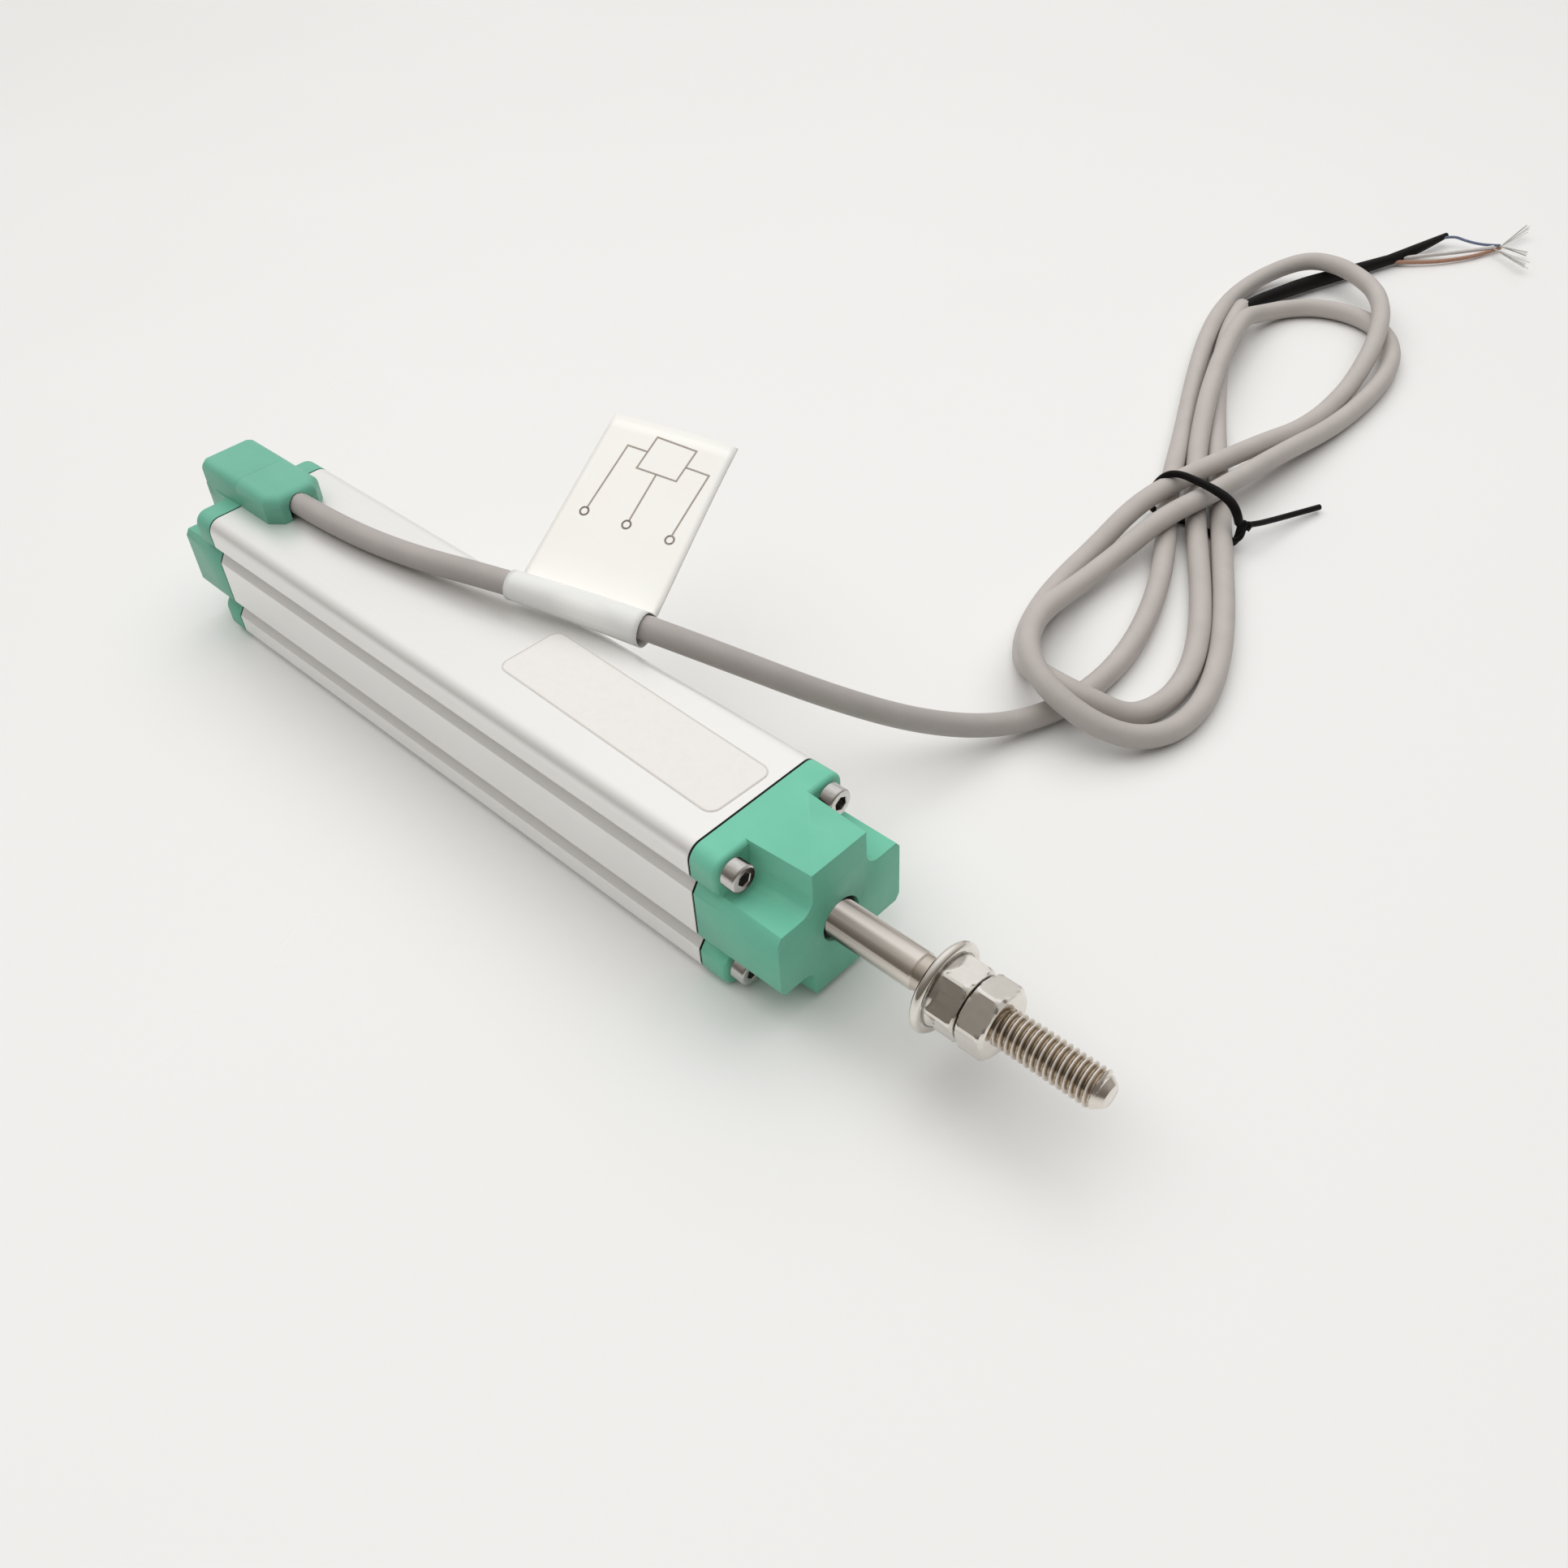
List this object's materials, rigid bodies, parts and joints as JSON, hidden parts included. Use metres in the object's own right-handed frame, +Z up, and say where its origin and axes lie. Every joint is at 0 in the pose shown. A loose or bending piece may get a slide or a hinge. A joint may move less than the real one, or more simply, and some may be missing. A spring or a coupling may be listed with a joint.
{
  "type": "linear potentiometer",
  "caption": "Rod-type linear potentiometer: square extruded aluminium housing, green moulded end caps, threaded steel rod with nuts, and a coiled lead with a flag tag.",
  "frame": {"origin": "middle of the housing's underside, on the surface it stands on", "axes": "+X along the rod towards its threaded end, +Y towards the side where the lead lies, +Z up"},
  "size_m": [0.2004, 0.3201, 0.0447],
  "materials": {
    "anodised": "satin",
    "green_moulding": "matt",
    "black_rubber": "matt",
    "stainless": "brushed",
    "nickel": "bright",
    "bearing": "matt",
    "board": "satin",
    "carbon_film": "matt",
    "spring_brass": "bright",
    "white_moulding": "matt",
    "cable_jacket": "satin",
    "tag_film": "satin",
    "black_tie": "satin",
    "brown_insulation": "satin",
    "blue_insulation": "satin"
  },
  "bodies": {
    "housing": {"housing": "anodised", "front_gasket": "black_rubber", "rear_gasket": "black_rubber", "front_cap": "green_moulding", "rod_bush": "bearing", "rod_seal": "black_rubber", "front_buffer": "black_rubber", "rear_cap": "green_moulding", "rear_buffer": "black_rubber", "cable_outlet": "green_moulding", "front_cap_screws": "stainless", "rear_cap_screws": "stainless", "track_board": "board", "resistive_track": "carbon_film", "collector_track": "carbon_film", "terminals": "spring_brass", "inner_leads": "white_moulding", "cable": "cable_jacket", "cable_coil": "cable_jacket", "cable_tie": "black_tie", "flag_tag": "tag_film", "end_sleeve": "black_tie", "drain_sleeve": "black_tie", "brown_wire": "brown_insulation", "blue_wire": "blue_insulation"},
    "carriage": {"carriage": "white_moulding", "rod_clip": "stainless", "wiper_springs": "spring_brass"},
    "rod": {"rod": "stainless", "flange_nut": "nickel", "hex_nut": "nickel"}
  },
  "joints": [
    {"name": "rod_slide", "type": "slide", "parent": "housing", "child": "carriage", "axis": [1, 0, 0], "range_m": [-0.0015, 0.0765]},
    {"name": "rod_spin", "type": "hinge", "parent": "carriage", "child": "rod", "pos_m": [0, 0, 0.013], "axis": [1, 0, 0], "continuous": true}
  ]
}
